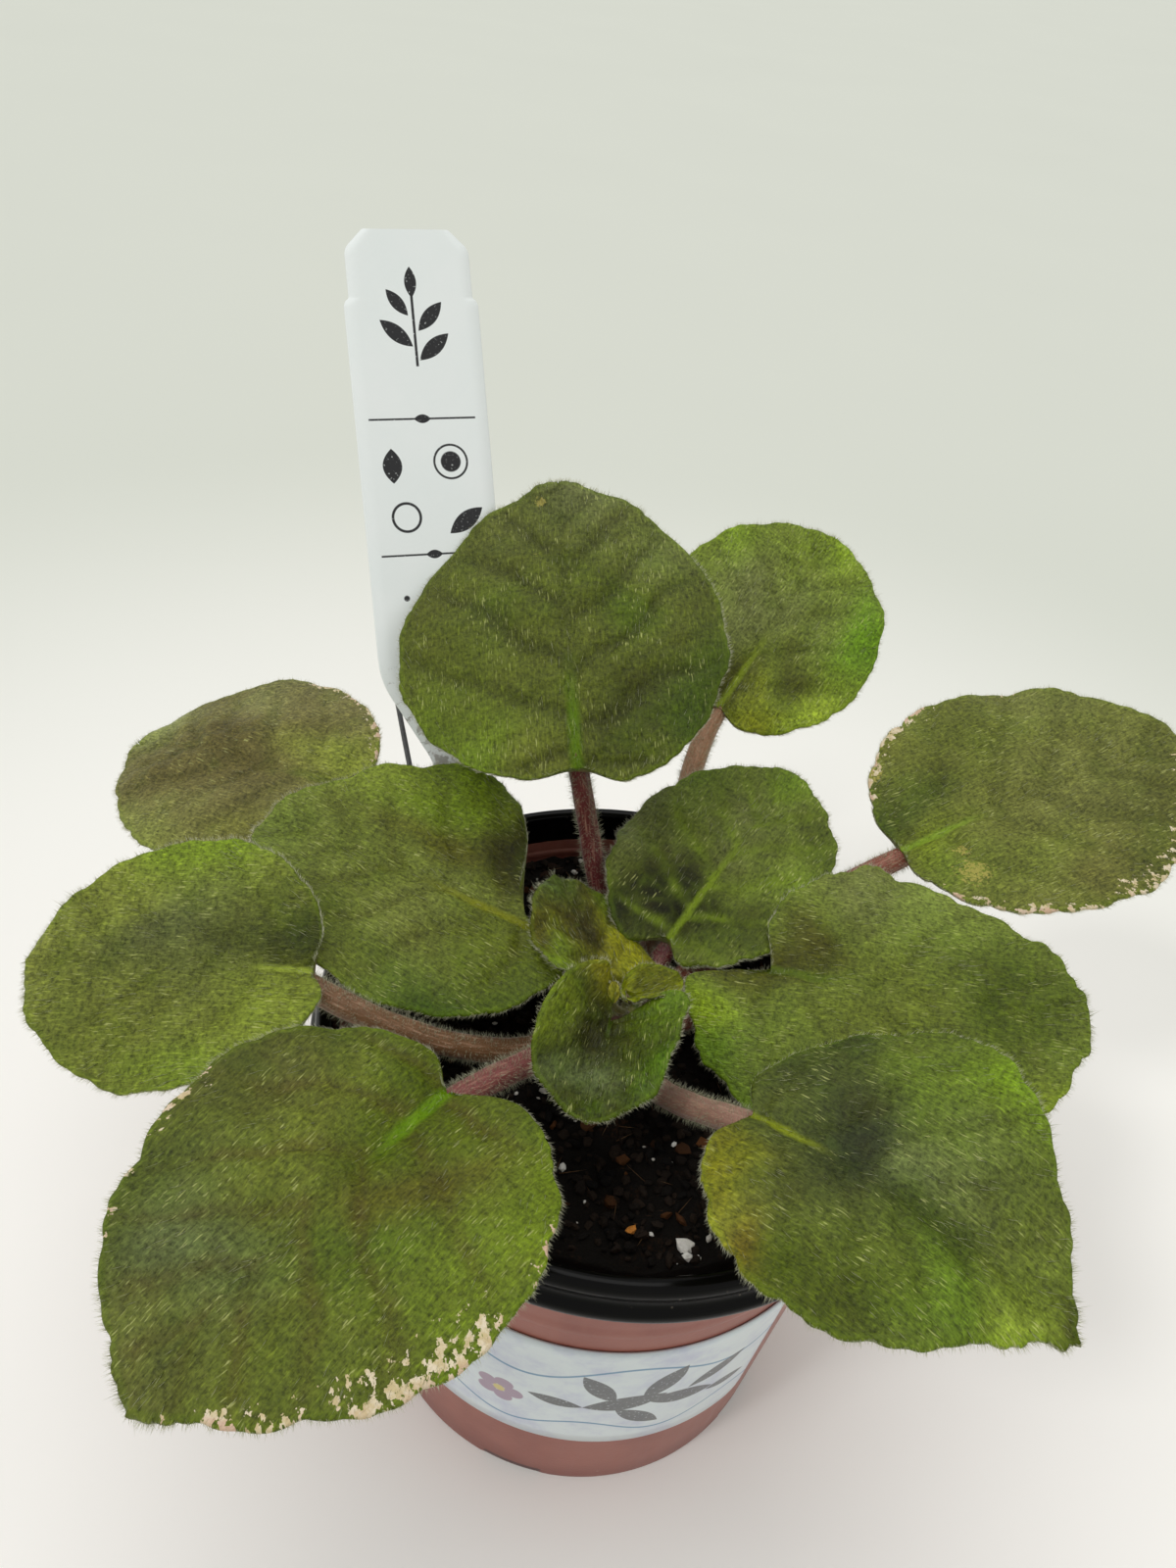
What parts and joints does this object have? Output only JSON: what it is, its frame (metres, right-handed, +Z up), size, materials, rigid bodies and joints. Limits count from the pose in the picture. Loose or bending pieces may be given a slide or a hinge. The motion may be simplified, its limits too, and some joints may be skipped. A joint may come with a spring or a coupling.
{
  "type": "potted african violet",
  "caption": "Out-of-bloom African violet: a rosette of thick hairy heart-shaped leaves on fleshy stems, in a round nursery pot with soil, a wall label and a leaning stake tag.",
  "frame": {"origin": "centre of the underside of the pot's floor, on the surface the pot stands on", "axes": "+Z up along the pot's axis, -Y towards the side with the pot's label, +X to the right seen from that side"},
  "size_m": [0.2198, 0.2021, 0.1886],
  "materials": {
    "pot_plastic": "satin terracotta-coloured plastic, the rim and inside black",
    "label_film": null,
    "potting_mix": "damp dark peat mix with bark chips and perlite",
    "crown_tissue": "matt brown stem",
    "tag_plastic": null,
    "stick_wood": "dark grey, matt",
    "leaf_blade": "thick quilted green leaf covered in short pale hairs",
    "petiole": "fleshy red-brown stem with short pale hairs"
  },
  "bodies": {
    "root": {"pot": "pot_plastic", "pot_label": "label_film", "soil": "potting_mix", "crown": "crown_tissue", "plant_tag": "tag_plastic", "tag_stick": "stick_wood", "blade_back_centre": "leaf_blade", "blade_back_right": "leaf_blade", "blade_far_right": "leaf_blade", "blade_far_left": "leaf_blade", "blade_left": "leaf_blade", "blade_inner_left": "leaf_blade", "blade_inner_right": "leaf_blade", "blade_right": "leaf_blade", "blade_front_right": "leaf_blade", "blade_front_left": "leaf_blade", "blade_young_front": "leaf_blade", "blade_young_back": "leaf_blade", "blade_bud_right": "leaf_blade", "blade_bud_left": "leaf_blade", "petiole_back_centre": "petiole", "petiole_back_right": "petiole", "petiole_far_right": "petiole", "petiole_far_left": "petiole", "petiole_left": "petiole", "petiole_inner_left": "petiole", "petiole_inner_right": "petiole", "petiole_right": "petiole", "petiole_front_right": "petiole", "petiole_front_left": "petiole", "petiole_young_front": "petiole", "petiole_young_back": "petiole", "petiole_bud_right": "petiole", "petiole_bud_left": "petiole"}
  },
  "joints": []
}
